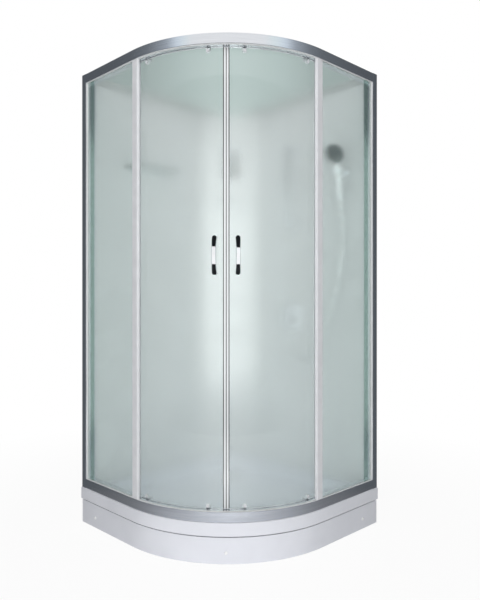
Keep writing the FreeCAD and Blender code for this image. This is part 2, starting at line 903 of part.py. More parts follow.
def make_hangers():
    brackets = []
    w = hanger_width / 2
    foot_x1 = math.sqrt(door_inner ** 2 - w ** 2) - door_radius - fit_gap
    foot_x0 = foot_x1 - hanger_wall
    riser_x1 = front_radius - rail_inner - hanger_clear - door_radius
    riser_x0 = riser_x1 - hanger_wall
    step_low = door_top - hanger_wall
    riser_top = axle_height + axle_radius + axle_head
    foot = box(foot_x0, foot_x1, -w, w, door_top - hanger_drop, door_top)
    step = box(riser_x0, foot_x1, -w, w, step_low, door_top)
    riser = box(riser_x0, riser_x1, -w, w, step_low, riser_top)
    plate = foot.fuse([step, riser]).removeSplitter()
    ends = [e for e in plate.Edges if e.BoundBox.YLength < fit_gap and e.BoundBox.ZLength < fit_gap]
    tips = [e for e in ends if e.BoundBox.ZMin > riser_top - fit_gap or e.BoundBox.ZMax < step_low - fit_gap]
    plate = plate.makeFillet(axle_head, tips)
    wheel0 = wheel_offset - wheel_width / 2
    wheel1 = wheel_offset + wheel_width / 2
    axle_end = wheel1 + running_gap
    axle = rod(axle_radius, V(riser_x1, 0, axle_height), V(axle_end, 0, axle_height))
    head = rod(axle_head, V(axle_end, 0, axle_height), V(axle_end + axle_head_height, 0, axle_height))
    collar = rod(axle_head, V(riser_x1, 0, axle_height), V(wheel0 - running_gap, 0, axle_height))
    bolt_z = clamp_height_z()
    outside = glass / 2 + fit_gap
    bolt = rod(clamp_bolt_radius, V(foot_x1, 0, bolt_z), V(outside, 0, bolt_z))
    cap = rod(clamp_radius, V(outside, 0, bolt_z), V(outside + clamp_height, 0, bolt_z))
    rim = [e for e in cap.Edges if abs(e.BoundBox.XMin - outside - clamp_height) < fit_gap]
    cap = cap.makeFillet(clamp_height / 3, rim)
    hanger = plate.fuse([axle, head, collar, bolt, cap]).removeSplitter()
    wheel = rod(wheel_radius, V(wheel0, 0, axle_height), V(wheel1, 0, axle_height))
    dish_end = V(wheel0 + wheel_dish, 0, axle_height)
    dish = rod(wheel_radius - wheel_dish * 2, V(wheel0, 0, axle_height), dish_end)
    hub = rod(axle_head, V(wheel0, 0, axle_height), V(wheel1, 0, axle_height))
    far_dish = dish.translated(ALONG_X * (wheel_width - wheel_dish))
    bore = rod(axle_radius + axle_fit, V(-overrun, 0, axle_height), V(overrun, 0, axle_height))
    wheel = wheel.cut([dish, far_dish]).fuse(hub).cut(bore)
    for place, turn in (("leading", leading_roller_deg), ("trailing", trailing_roller_deg)):
        upper = at_front(hanger, -turn, door_radius)
        brackets += [upper, upside_down(upper)]
        upper_wheel = at_front(wheel, -turn, door_radius)
        both_sides("top_" + place + "_wheel", upper_wheel)
        both_sides("bottom_" + place + "_wheel", upside_down(upper_wheel))
    both_sides("roller_hangers", grouped(brackets))


def make_handles():
    half_length = handle_length / 2
    bow_start = half_length - handle_foot
    outer_low = V(handle_foot_reach, 0, -half_length)
    outer_high = V(handle_foot_reach, 0, half_length)
    inner_low = V(handle_foot_reach, 0, -bow_start)
    inner_high = V(handle_foot_reach, 0, bow_start)
    side_view = Part.Wire([
        Part.makeLine(V(0, 0, -half_length), outer_low),
        Part.Arc(outer_low, V(handle_reach, 0, 0), outer_high).toShape(),
        Part.makeLine(outer_high, V(0, 0, half_length)),
        Part.makeLine(V(0, 0, half_length), V(0, 0, bow_start)),
        Part.makeLine(V(0, 0, bow_start), inner_high),
        Part.Arc(inner_high, V(handle_reach - handle_bow, 0, 0), inner_low).toShape(),
        Part.makeLine(inner_low, V(0, 0, -bow_start)),
        Part.makeLine(V(0, 0, -bow_start), V(0, 0, -half_length)),
    ])
    w = handle_width / 2
    shoulder = half_length - w
    waist = handle_waist / 2
    front_view = Part.Wire([
        Part.Arc(V(0, w, -shoulder), V(0, waist, 0), V(0, w, shoulder)).toShape(),
        Part.Arc(V(0, w, shoulder), V(0, 0, half_length), V(0, -w, shoulder)).toShape(),
        Part.Arc(V(0, -w, shoulder), V(0, -waist, 0), V(0, -w, -shoulder)).toShape(),
        Part.Arc(V(0, -w, -shoulder), V(0, 0, -half_length), V(0, w, -shoulder)).toShape(),
    ])
    bow = Part.Face(side_view).translated(V(0, -w, 0)).extrude(ALONG_Y * handle_width)
    outline = Part.Face(front_view).extrude(ALONG_X * (handle_reach + overrun))
    grip = bow.common(outline)
    rims = []
    for e in grip.Edges:
        on_end = e.BoundBox.ZLength < handle_foot and e.BoundBox.XMax > handle_foot_reach + handle_round
        on_back = e.BoundBox.XMax > handle_reach - handle_bow / 2
        if on_end or on_back:
            rims.append(e)
    grip = grip.makeFillet(handle_round, rims)
    grip = grip.translated(UP * handle_height)
    screws = []
    base = glass / 2 + fit_gap
    knob_face = -glass / 2 - fit_gap
    pilots = []
    for z in handle_screw_heights():
        shank = rod(handle_screw_radius, V(knob_face, 0, z), V(base + handle_screw_depth, 0, z))
        knob = rod(handle_knob_radius, V(knob_face - handle_knob_height, 0, z), V(knob_face, 0, z))
        rim = [e for e in knob.Edges if e.BoundBox.XMax < knob_face - handle_knob_height + fit_gap]
        knob = knob.makeFillet(handle_knob_height / 3, rim)
        screws.append(at_front(shank.fuse(knob), -handle_deg, door_radius))
        pilot_end = V(handle_screw_depth + fit_gap, 0, z)
        pilots.append(rod(handle_screw_radius + fit_gap, V(-overrun, 0, z), pilot_end))
    grip = grip.cut(pilots)
    both_sides("handle", at_front(grip, -handle_deg, door_radius + base))
    both_sides("handle_screws", grouped(screws))


def make_walls():
    y0 = -half + frame_inset + post_depth - wall_groove_depth + fit_gap
    panel = box(-wall_back, -wall_face, y0, wall_face, tray_height, wall_top)
    write("left_wall", panel)
    right = mirrored(panel)
    holes = []
    for x in inlet_places():
        start = V(x, wall_face - overrun, inlet_height)
        holes.append(rod(inlet_radius + fit_gap, start, start + ALONG_Y * (2 * overrun)))
    write("right_wall", right.cut(holes))
    c0 = wall_back + corner_wall
    leg = box(-c0, -wall_back, wall_back - corner_leg, c0, tray_height, wall_top)
    other = box(-c0, corner_leg - wall_back, wall_back, c0, tray_height, wall_top)
    filler = box(-wall_back, -wall_face, wall_face, wall_back, tray_height, wall_top)
    write("corner_profile", leg.fuse([other, filler]).removeSplitter())
    t0 = wall_back + wall_trim_wall
    t1 = wall_face - wall_trim_wall
    start_y = -half + frame_inset + post_depth
    trim = box(-t0, -t1, start_y, t0, wall_top - wall_trim_lap, cabin_height)
    slot_x0 = -wall_back - corner_wall
    slot = box(slot_x0, -wall_face, start_y - overrun, t0 + overrun, wall_top - overrun, wall_top)
    far_side = polygon([V(-half, half, 0), V(half, -half, 0), V(half, half, 0)])
    trim = trim.cut([slot, far_side.extrude(UP * (cabin_height + overrun))])
    edges = [e for e in edges_at(trim, cabin_height) if e.BoundBox.YLength > side / 2]
    trim = trim.makeFillet(rail_round, edges)
    write("wall_trims", grouped([trim, mirrored(trim)]))


def inlet_places():
    return [mixer_place - inlet_spacing / 2, mixer_place + inlet_spacing / 2]


def on_diagonal(shape):
    """Turn a piece built with +X toward the front onto the cabin's diagonal."""
    placed = shape.copy()
    placed.rotate(ORIGIN, UP, DIAGONAL_DEG)
    return placed


def make_column():
    apex = -wall_face * math.sqrt(2)
    face = apex + column_depth
    foot = apex + column_foot_depth
    rise = column_taper_start - column_foot
    sweep = ((face - foot) ** 2 + rise ** 2) / (2 * (face - foot))
    middle_angle = math.asin(rise / sweep) / 2
    inner = sweep - column_wall
    centre = V(face - sweep, 0, column_taper_start)
    inner_angle = math.asin(rise / inner)
    lower = V(foot, 0, column_foot)
    inner_lower = centre + V(math.cos(inner_angle), 0, -math.sin(inner_angle)) * inner
    arc_mid = centre + V(math.cos(middle_angle), 0, -math.sin(middle_angle)) * sweep
    inner_mid = centre + V(math.cos(inner_angle / 2), 0, -math.sin(inner_angle / 2)) * inner
    start = V(face, 0, column_taper_start)
    inner_start = V(face - column_wall, 0, column_taper_start)
    top = V(face, 0, column_top)
    lid = column_top - column_wall
    profile = Part.Wire([
        Part.makeLine(top, start),
        Part.Arc(start, arc_mid, lower).toShape(),
        Part.makeLine(lower, inner_lower),
        Part.Arc(inner_lower, inner_mid, inner_start).toShape(),
        Part.makeLine(inner_start, V(face - column_wall, 0, lid)),
        Part.makeLine(V(face - column_wall, 0, lid), V(apex, 0, lid)),
        Part.makeLine(V(apex, 0, lid), V(apex, 0, column_top)),
        Part.makeLine(V(apex, 0, column_top), top),
    ])
    reach = 2 * column_depth
    sheet = Part.Face(profile).translated(V(0, -reach, 0)).extrude(ALONG_Y * (2 * reach))
    corner = polygon([V(apex, 0, 0), V(apex + reach, -reach, 0), V(apex + reach, reach, 0)])
    write("corner_column", on_diagonal(sheet.common(corner.extrude(UP * cabin_height))))
    w = column_shelf_width / 2
    rim = Part.Wire([
        Part.makeLine(V(face, -w, 0), V(face, w, 0)),
        Part.Arc(V(face, w, 0), V(face + column_shelf_reach, 0, 0), V(face, -w, 0)).toShape(),
    ])
    plate = Part.Face(rim).extrude(UP * column_shelf_wall)
    bow = [e for e in plate.Edges if e.BoundBox.ZLength < fit_gap and e.BoundBox.XLength > fit_gap]
    plate = plate.makeFillet(column_shelf_wall / 3, bow)
    heights = [column_top - top_shelf_drop] + [column_taper_start + rise for rise in lower_shelf_rises]
    write("column_shelves", grouped([on_diagonal(plate.translated(UP * z)) for z in heights]))
    m = mirror_width / 2
    mirror_face = Part.Face(rounded_outline([
        (V(face, -m, mirror_bottom), mirror_corner),
        (V(face, m, mirror_bottom), mirror_corner),
        (V(face, m, mirror_top), mirror_corner),
        (V(face, -m, mirror_top), mirror_corner),
    ]))
    write("column_mirror", on_diagonal(mirror_face.extrude(ALONG_X * mirror_wall)))


def make_shelf():
    x0 = -wall_face
    x1 = x0 + shelf_reach
    seat_x = x0 + shelf_bracket_rosette_height
    y0 = shelf_start
    y1 = shelf_start + shelf_length
    plate = Part.Face(rounded_outline([
        (V(seat_x, y0, shelf_height), 0),
        (V(x1, y0, shelf_height), shelf_corner),
        (V(x1, y1, shelf_height), shelf_corner),
        (V(seat_x, y1, shelf_height), 0),
    ])).extrude(UP * shelf_wall)
    write("wall_shelf", plate)
    middle = shelf_height + shelf_wall / 2
    clamps = []
    for y in (y0 + shelf_bracket_inset, y1 - shelf_bracket_inset):
        start = V(x0, y, middle)
        body = rod(shelf_bracket_radius, start, start + ALONG_X * shelf_bracket_reach)
        end = [e for e in body.Edges if e.BoundBox.XMin > x0 + shelf_bracket_reach - fit_gap]
        body = body.makeFillet(shelf_bracket_radius / 3, end)
        rosette = rod(shelf_bracket_rosette, start, start + ALONG_X * shelf_bracket_rosette_height)
        clamps.append(body.fuse(rosette).cut(plate))
    write("shelf_brackets", grouped(clamps))


def make_bar():
    y = wall_face - bar_standoff
    bar = rod(bar_radius, V(bar_place, y, bar_bottom), V(bar_place, y, bar_top))
    bar = bar.makeFillet(bar_radius / 2, edges_at(bar, bar_bottom) + edges_at(bar, bar_top))
    pieces = []
    inset = bar_rosette_radius
    for z in (bar_bottom + inset, bar_top - inset):
        root = V(bar_place, wall_face, z)
        pieces.append(rod(bar_post_radius, root, V(bar_place, y, z)))
        pieces.append(rod(bar_rosette_radius, root, root - ALONG_Y * bar_rosette_height))
    write("wall_bar", bar.fuse(pieces).removeSplitter())


def make_mixer():
    m = mixer_width / 2
    front = wall_face - mixer_plate
    plate = Part.Face(rounded_outline([
        (V(mixer_place - m, wall_face, mixer_bottom), mixer_corner),
        (V(mixer_place + m, wall_face, mixer_bottom), mixer_corner),
        (V(mixer_place + m, wall_face, mixer_top), mixer_corner),
        (V(mixer_place - m, wall_face, mixer_top), mixer_corner),
    ])).extrude(ALONG_Y * -mixer_plate)
    rim = [e for e in plate.Edges if e.BoundBox.YMax < front + fit_gap]
    plate = plate.makeFillet(mixer_round, rim)
    axis = V(mixer_place, 0, hub_height)
    hub_end = front - hub_reach
    hub = rod(hub_radius, axis + ALONG_Y * front, axis + ALONG_Y * hub_end)
    spindle = rod(spindle_radius, axis + ALONG_Y * hub_end, axis + ALONG_Y * (hub_end - spindle_reach))
    exit_y = wall_face - mixer_plate - outlet_reach
    elbow = V(mixer_place, exit_y, outlet_height)
    arm = rod(outlet_radius, V(mixer_place, front, outlet_height), elbow)
    bend = Part.makeSphere(outlet_radius, elbow)
    nipple = rod(nipple_radius, elbow, elbow - UP * nipple_drop)
    write("mixer_body", plate.fuse([hub, spindle, arm, bend, nipple]).removeSplitter())

    collar_back = hub_end - running_gap
    collar_front = collar_back - collar_reach
    collar = rod(collar_radius, axis + ALONG_Y * collar_back, axis + ALONG_Y * collar_front)
    lip = [e for e in collar.Edges if e.BoundBox.YMax < collar_front + fit_gap]
    collar = collar.makeFillet(mixer_round, lip)
    socket = rod(spindle_radius + axle_fit, axis + ALONG_Y * collar_back,
                 axis + ALONG_Y * (hub_end - spindle_reach - running_gap))
    pin_y = collar_front + lever_pin_setback
    slot_half = lever_width / 2 + running_gap
    slot_back = pin_y + lever_root_radius + running_gap
    slot = box(mixer_place - slot_half, mixer_place + slot_half, collar_front - overrun, slot_back,
               hub_height - collar_radius - overrun, hub_height + lever_root_radius + running_gap)
    pivot = V(mixer_place, pin_y, hub_height)
    pin = rod(lever_pin_radius, pivot - ALONG_X * slot_half, pivot + ALONG_X * slot_half)
    write("mixer_collar", collar.cut([socket, slot]).fuse(pin).removeSplitter())

    w = lever_width / 2
    e = lever_end_width / 2
    neck = collar_radius + running_gap
    tip_z = e - lever_length
    outline = Part.Wire([
        Part.makeLine(V(-w, 0, 0), V(-w, 0, -neck)),
        Part.makeLine(V(-w, 0, -neck), V(-e, 0, tip_z)),
        Part.Arc(V(-e, 0, tip_z), V(0, 0, -lever_length), V(e, 0, tip_z)).toShape(),
        Part.makeLine(V(e, 0, tip_z), V(w, 0, -neck)),
        Part.makeLine(V(w, 0, -neck), V(w, 0, 0)),
        Part.makeLine(V(w, 0, 0), V(-w, 0, 0)),
    ])
    blade = Part.Face(outline).translated(V(0, -lever_wall / 2, 0)).extrude(ALONG_Y * lever_wall)
    root = rod(lever_root_radius, V(-w, 0, 0), V(w, 0, 0))
    lever = blade.fuse(root).removeSplitter()
    lever = lever.cut(rod(lever_pin_radius + axle_fit, V(-overrun, 0, 0), V(overrun, 0, 0)))
    lever.rotate(ORIGIN, ALONG_X, -lever_lean_deg)
    write("mixer_lever", lever.translated(pivot))

    unions = []
    for x in inlet_places():
        start = V(x, wall_face, inlet_height)
        tail = rod(inlet_radius, start, V(x, half - inlet_setback, inlet_height))
        nut = Part.Face(hexagon(inlet_nut_radius, ORIGIN)).extrude(UP * inlet_nut_height)
        nut.rotate(ORIGIN, ALONG_X, -90.0)
        unions.append(tail.fuse(nut.translated(V(x, wall_back, inlet_height))))
    write("inlet_unions", grouped(unions))


def tilted(shape):
    """Lean a piece built upright on the hand shower's axis off the wall."""
    placed = shape.copy()
    placed.rotate(ORIGIN, ALONG_X, hand_tilt_deg)
    return placed.translated(V(hand_place, wall_face - hand_standoff, hand_bottom))


def make_hand_shower():
    profile = [
        (0, -hand_nipple_length),
        (hand_nipple_radius, -hand_nipple_length),
        (hand_nipple_radius, 0),
        (grip_end_radius, 0),
        (grip_radius, holder_up - holder_height),
        (grip_radius, holder_up + holder_height),
        (grip_end_radius, grip_length),
        (0, grip_length),
    ]
    grip = turned(profile, ORIGIN)
    r = head_radius
    head = turned([
        (0, 0),
        (head_face_radius, 0),
        (head_face_radius, head_face_step),
        (r, head_face_step),
        (r, head_wall / 2),
        (head_face_radius, head_wall),
        (0, head_wall + head_face_step),
    ], ORIGIN)
    head = head.translated(UP * -head_wall)
    head.rotate(ORIGIN, ALONG_X, -90.0 + head_lean_deg)
    head = head.translated(V(0, -grip_radius / 2, grip_length))
    write("hand_shower", tilted(grip.fuse(head).removeSplitter()))

    cup = rod(holder_radius, UP * (holder_up - holder_height / 2), UP * (holder_up + holder_height / 2))
    low = holder_up - overrun
    high = holder_up + overrun
    bore = rod(grip_radius + running_gap, UP * low, UP * high)
    slot = box(-holder_slot / 2, holder_slot / 2, -holder_radius - overrun, 0, low, high)
    cup = tilted(cup)
    bore = tilted(bore)
    slot = tilted(slot)
    tilt = math.radians(hand_tilt_deg)
    axis_y = wall_face - hand_standoff - holder_up * math.sin(tilt)
    axis_z = hand_bottom + holder_up * math.cos(tilt)
    root = V(hand_place, wall_face, axis_z)
    arm = rod(holder_arm_radius, root, V(hand_place, axis_y, axis_z))
    rosette = rod(holder_rosette_radius, root, root - ALONG_Y * holder_rosette_height)
    rim = [e for e in rosette.Edges if e.BoundBox.YMax < wall_face - holder_rosette_height + fit_gap]
    rosette = rosette.makeFillet(holder_rosette_height / 3, rim)
    write("shower_holder", cup.fuse([arm, rosette]).removeSplitter().cut([bore, slot]))


def hose_path():
    """Straight runs joined by tangent arcs through the hand-picked points of the hose."""
    points = [V(*p) for p in hose_route]
    edges = []
    start = points[0]
    radii = []
    for before, point, after in zip(points[:-2], points[1:-1], points[2:]):
        back = before - point
        ahead = after - point
        reach = hose_bend_share * min(back.Length, ahead.Length)
        half_angle = back.getAngle(ahead) / 2
        radii.append(reach * math.tan(half_angle))
        to_back = back.normalize()
        to_ahead = ahead.normalize()
        arc_start = point + to_back * reach
        arc_end = point + to_ahead * reach
        bisector = (to_back + to_ahead).normalize()
        middle = point + bisector * (radii[-1] / math.sin(half_angle) - radii[-1])
        edges.append(Part.makeLine(start, arc_start))
        edges.append(Part.Arc(arc_start, middle, arc_end).toShape())
        start = arc_end
    edges.append(Part.makeLine(start, points[-1]))
    print("hose bend radii", [round(r) for r in radii])
    return Part.Wire(edges)


def make_hose():
    path = hose_path()
    first = V(*hose_route[0])
    heading = V(*hose_route[1]) - first
    section = Part.Wire(Part.makeCircle(hose_radius, first, heading))
    hose = path.makePipeShell([section], True, False)
    plain = math.pi * hose_radius ** 2 * path.Length
    print("hose length", round(path.Length, 1), "volume share", round(hose.Volume / plain, 4))
    write("hose", hose)

    bore = rod(hand_nipple_radius + fit_gap, UP * -overrun, UP * overrun)
    upper = rod(hose_nut_radius, UP * -hose_nut_length, ORIGIN).cut(bore)
    lower_z = outlet_height - nipple_drop
    exit_y = wall_face - mixer_plate - outlet_reach
    low = V(mixer_place, exit_y, lower_z + hose_nut_lap - hose_nut_length)
    lower = rod(hose_nut_radius, low, low + UP * hose_nut_length)
    lower = lower.cut(rod(nipple_radius + fit_gap, low - UP * overrun, low + UP * overrun))
    write("hose_nuts", grouped([tilted(upper), lower]))


os.makedirs("parts", exist_ok=True)
write("tray", make_tray())
make_drain()
make_base()
make_apron()
make_rails()
make_stops()
make_fixed_panes()
make_doors()
make_hangers()
make_handles()
make_walls()
make_column()
make_shelf()
make_bar()
make_mixer()
make_hand_shower()
make_hose()
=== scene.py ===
"""Looks of a corner shower cabin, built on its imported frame: materials, water hose, light and camera."""

import json
import math

import bpy
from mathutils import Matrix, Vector


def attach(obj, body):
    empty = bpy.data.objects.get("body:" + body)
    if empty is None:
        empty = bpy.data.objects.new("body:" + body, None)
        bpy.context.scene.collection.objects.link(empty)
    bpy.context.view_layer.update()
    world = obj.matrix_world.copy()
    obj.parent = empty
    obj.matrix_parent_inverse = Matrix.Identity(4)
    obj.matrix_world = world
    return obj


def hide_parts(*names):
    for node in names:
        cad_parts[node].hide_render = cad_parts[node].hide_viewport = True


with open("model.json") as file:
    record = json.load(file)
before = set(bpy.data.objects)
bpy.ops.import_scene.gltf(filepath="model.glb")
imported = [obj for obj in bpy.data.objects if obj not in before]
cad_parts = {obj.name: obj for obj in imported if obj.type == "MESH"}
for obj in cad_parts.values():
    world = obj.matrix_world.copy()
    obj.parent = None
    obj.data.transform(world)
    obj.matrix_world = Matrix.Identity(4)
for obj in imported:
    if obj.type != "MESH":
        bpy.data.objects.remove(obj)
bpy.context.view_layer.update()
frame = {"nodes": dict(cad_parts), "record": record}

# Camera, with places in metres
CAMERA_PLACE = Vector((1.8812, -1.7791, 0.9538))
CAMERA_HEADING = Vector((-0.7141, 0.7000, -0.0010))
FOCAL_LENGTH_MM = 36.2
SENSOR_MM = 36.0
VIEW_DEPTH = 100.0

# Directions of the studio: from the front of the cabin to its corner, to the right of that, and up
AHEAD = Vector((CAMERA_HEADING.x, CAMERA_HEADING.y, 0.0)).normalized()
ACROSS = Vector((AHEAD.y, -AHEAD.x, 0.0))
UP = Vector((0.0, 0.0, 1.0))

# Factors that take the height out of a vector
LEVEL = (1.0, 1.0, 0.0)

# Water hose: its route from the hand shower to the mixer, in metres
HOSE_ROUTE = (
    (0.295, 0.391, 1.3965),
    (0.296, 0.403, 1.310),
    (0.300, 0.406, 1.210),
    (0.292, 0.402, 1.110),
    (0.272, 0.398, 1.010),
    (0.241, 0.393, 0.911),
    (0.203, 0.389, 0.810),
    (0.167, 0.387, 0.712),
    (0.109, 0.386, 0.678),
    (0.043, 0.387, 0.684),
    (0.000, 0.387, 0.734),
    (0.000, 0.387, 0.792),
)
HOSE_RADIUS = 0.007
HOSE_ROUND_STEPS = 6
HOSE_LINE_STEPS = 12
HOSE_ROUGH = (0.22, 0.34)
HOSE_MOTTLE = 90.0
WINDING_SCALE = 110.0
WINDING_TONES = ((0.86, 0.87, 0.88), (0.96, 0.97, 0.97))
WINDING_STRENGTH = 0.3
WINDING_DEPTH = 0.0005

# Noise in the finishes
NOISE_RANGE = (0.3, 0.7)
NOISE_DETAIL = 2.0
SURFACE_DETAIL = 3.0
RELIEF_STRENGTH = 0.25
NO_STRETCH = (1.0, 1.0, 1.0)
BRUSHED_ALONG = (2.0, 2.0, 260.0)
BRUSHED_UPRIGHT = (260.0, 260.0, 2.0)

# Plain finishes: two tones, a range of roughness and the scale of the mottling
WHITE = (1.0, 1.0, 1.0)
ALUMINIUM = dict(
    dark=(0.66, 0.68, 0.715), light=(0.76, 0.78, 0.815), rough=(0.16, 0.24), scale=3.0, metal=1.0)
SURFACES = {
    "white_acrylic": dict(
        dark=(0.80, 0.815, 0.87), light=(0.85, 0.865, 0.92), rough=(0.10, 0.18), scale=7.0, coat=0.5),
    "white_cap": dict(
        dark=(0.93, 0.93, 0.94), light=(0.97, 0.97, 0.98), rough=(0.1, 0.18), scale=40.0, coat=0.4),
    "wall_panel": dict(
        dark=(0.762, 0.772, 0.782), light=(0.782, 0.792, 0.802), rough=(0.26, 0.29), scale=2.5),
    "trim_grey": dict(
        dark=(0.52, 0.54, 0.54), light=(0.60, 0.62, 0.62), rough=(0.3, 0.4), scale=30.0),
    "satin_aluminium": dict(ALUMINIUM, stretch=BRUSHED_ALONG),
    "upright_aluminium": dict(ALUMINIUM, stretch=BRUSHED_UPRIGHT),
    "pale_strip": dict(
        dark=(0.74, 0.745, 0.775), light=(0.79, 0.795, 0.825), rough=(0.35, 0.5), scale=30.0),
    "white_strip": dict(
        dark=(0.84, 0.85, 0.86), light=(0.88, 0.89, 0.90), rough=(0.12, 0.2), scale=30.0, coat=0.5),
    "chrome": dict(
        dark=(0.78, 0.79, 0.81), light=(0.86, 0.87, 0.89), rough=(0.04, 0.09), scale=20.0, metal=1.0),
    "brass": dict(
        dark=(0.66, 0.50, 0.24), light=(0.78, 0.62, 0.33), rough=(0.25, 0.4), scale=25.0, metal=1.0),
    "steel": dict(
        dark=(0.52, 0.53, 0.54), light=(0.64, 0.65, 0.66), rough=(0.3, 0.45), scale=40.0, metal=1.0),
    "painted_steel": dict(
        dark=(0.27, 0.29, 0.31), light=(0.33, 0.35, 0.37), rough=(0.45, 0.6), scale=60.0, relief=0.0004),
    "grey_rubber": dict(
        dark=(0.05, 0.05, 0.052), light=(0.08, 0.08, 0.083), rough=(0.6, 0.8), scale=80.0, relief=0.0003),
    "grey_plastic": dict(
        dark=(0.23, 0.24, 0.25), light=(0.29, 0.30, 0.31), rough=(0.4, 0.55), scale=60.0, relief=0.0003),
    "nylon": dict(
        dark=(0.68, 0.68, 0.65), light=(0.76, 0.76, 0.73), rough=(0.35, 0.5), scale=60.0),
    "mirror": dict(
        dark=(0.80, 0.83, 0.84), light=(0.84, 0.87, 0.88), rough=(0.02, 0.04), scale=10.0, metal=1.0),
}

# Glass: its tint, a range of roughness and the share of lamplight that it lets through
GLASS_GRAIN = 260.0
GLASS_IOR = 1.45
GLASSES = {
    "frosted_glass": dict(
        tint=(0.89, 0.93, 0.919), rough=(0.22, 0.24), lets_through=(0.665, 0.69, 0.685)),
    "shade_striped_glass": dict(
        tint=(0.855, 0.91, 0.897), rough=(0.16, 0.18), lets_through=(0.63, 0.66, 0.655), shade_striped=True),
    "clear_glass": dict(
        tint=(0.90, 0.96, 0.95), rough=(0.03, 0.06), lets_through=(0.88, 0.93, 0.92)),
}

# Fixed panes: the clear margin beside the wall post and the green stripe next to it, in metres; the stripe is
# painted shade, standing for the shaded profile seen behind the pane
MARGIN_TINT = (0.86, 0.925, 0.905)
SHADE_STRIPE_TINT = (0.45, 0.60, 0.54)
SHADE_STRIPE_FROM = -0.391
SHADE_STRIPE_TO = -0.361
SHADE_STRIPE_BLUR = 0.0015
SHADE_STRIPE_REACH = 0.05

# Meeting strips: tones by the distance from the seam, in metres; the dark tones are painted shade of the
# groove at the seam and of the gaps at the strips' outer edges
SEAL_WHITE = (0.86, 0.87, 0.89)
SEAL_PAINTED_SHADE = (0.12, 0.13, 0.13)
SEAL_TONES = (
    (0.0, SEAL_PAINTED_SHADE), (0.0016, SEAL_PAINTED_SHADE), (0.0021, SEAL_WHITE),
    (0.0079, SEAL_WHITE), (0.0082, SEAL_PAINTED_SHADE), (0.0125, SEAL_PAINTED_SHADE),
)
SEAL_LOOK = dict(rough=(0.12, 0.2), scale=30.0, coat=0.5)

# Hand shower: tones by the height, in metres
GRIP_TONE = (0.88, 0.89, 0.90)
SPRAY_TONE = (0.14, 0.17, 0.17)
SHOWER_TONES = ((1.3, GRIP_TONE), (1.542, GRIP_TONE), (1.548, SPRAY_TONE), (1.7, SPRAY_TONE))
SHOWER_LOOK = dict(rough=(0.08, 0.16), scale=40.0, metal=0.9)

# Nodes with a finish other than the one of their slot
NODE_FINISHES = {
    "left_post": "upright_aluminium",
    "right_post": "upright_aluminium",
    "corner_profile": "upright_aluminium",
    # The fixed panes' glass carries a stripe of painted shade
    "left_fixed_glass": "shade_striped_glass",
    "right_fixed_glass": "shade_striped_glass",
    # The meeting strips carry painted shade at the seam and at their outer edges
    "left_magnet_seal": "meeting_strip_with_shade",
    "right_magnet_seal": "meeting_strip_with_shade",
    "glazing_gaskets": "white_strip",
    "wall_trims": "trim_grey",
    "left_roller_hangers": "pale_strip",
    "right_roller_hangers": "pale_strip",
    "apron_screws": "white_cap",
    "hand_shower": "shower_finish",
}

# Floor: its share of plain white grows with the distance from the cabin's middle, in metres
FLOOR_SIZE = 24.0
FLOOR_DROP = 0.0005
FLOOR_TONES = ((0.88, 0.88, 0.88), (0.90, 0.90, 0.90))
FLOOR_MOTTLE = 1.5
FLOOR_ROUGHNESS = 0.9
FLOOR_FADE = (0.9, 2.2)
FLOOR_GLOW = (0.94, 1.0)

# Side flags and mat: tones by the direction from the cabin's middle, in degrees from the front
FLAG_DISTANCE = 1.05
FLAG_TOP = 3.0
FLAG_REACH = (-1.3, 1.6)
FLAG_TINT = (0.91, 1.0, 1.10)
LEFT_FLAG_TONES = ((0, 1.0), (35, 1.0), (42, 0.88), (50, 0.42), (66, 0.21), (90, 0.12), (180, 0.12))
RIGHT_FLAG_TONES = ((0, 1.0), (39, 1.0), (46, 0.90), (54, 0.43), (67, 0.22), (90, 0.12), (180, 0.12))
MAT_TINT = (0.97, 1.0, 1.06)
MAT_TONES = (
    (0, 0.77), (20, 0.64), (29, 0.56), (39, 0.48), (49, 0.41), (64, 0.29), (90, 0.165), (180, 0.165),
)

# Handle flags: the height of each, and how far its left and right sides reach to the front
HANDLE_FLAGS = ((0.45, 2.3, 1.6), (1.78, 1.2, 1.6))
HANDLE_FLAG_NEAR = 0.40
HANDLE_FLAG_WIDTH = 1.2
HANDLE_FLAG_TONE = (0.012, 0.013, 0.015)

# Cards across the view: edges by distance to the front and by height, tones by distance from the middle
STRIP_EDGES = ((1.45, 0.02), (1.45, 1.75))
STRIP_POWER = 1.25
STRIP_FOOT_EDGES = ((1.2, 0.02), (1.45, 0.02))
STRIP_FOOT_POWER = 4.0
STRIP_WIDTH = 1.2
STRIP_TONES = ((0.0, 1.0), (0.12, 0.98), (0.3, 0.86), (0.6, 0.76))
DARK_WALL_EDGES = ((3.9, 0.0), (3.9, 5.0))
DARK_WALL_WIDTH = 9.0
DARK_WALL_TONE = (0.25, 0.25, 0.25)
BACKDROP_EDGES = ((-1.5, 1.9), (-1.5, 4.1))
BACKDROP_WIDTH = 5.0
BACKDROP_TINT = (0.856, 1.0, 0.98)
BACKDROP_TONES = ((0.0, 0.63), (0.3, 0.58), (0.6, 0.45), (0.9, 0.40), (3.0, 0.38))

# Light: lamps with places and sizes in metres and powers in watts
WORLD_LIGHT = 0.27
LAMPS = {
    "key": dict(
        place=Vector((2.25, -2.35, 0.95)), target=Vector((0.0, 0.0, 0.9)), size=(2.6, 2.3), power=61.0),
    "overhead": dict(
        place=Vector((0.9, -0.9, 3.0)), target=Vector((-0.2, 0.2, 1.5)), size=(1.6, 1.6), power=11.0),
    "rear_fill": dict(
        place=Vector((-2.3, 2.3, 1.0)), target=Vector((0.0, 0.0, 0.9)), size=(2.4, 1.8), power=16.0),
}


def new_material(name):
    """Empty material with its node tree and Principled shader."""
    material = bpy.data.materials.new(name)
    material.use_nodes = True
    return material, material.node_tree, material.node_tree.nodes["Principled BSDF"]


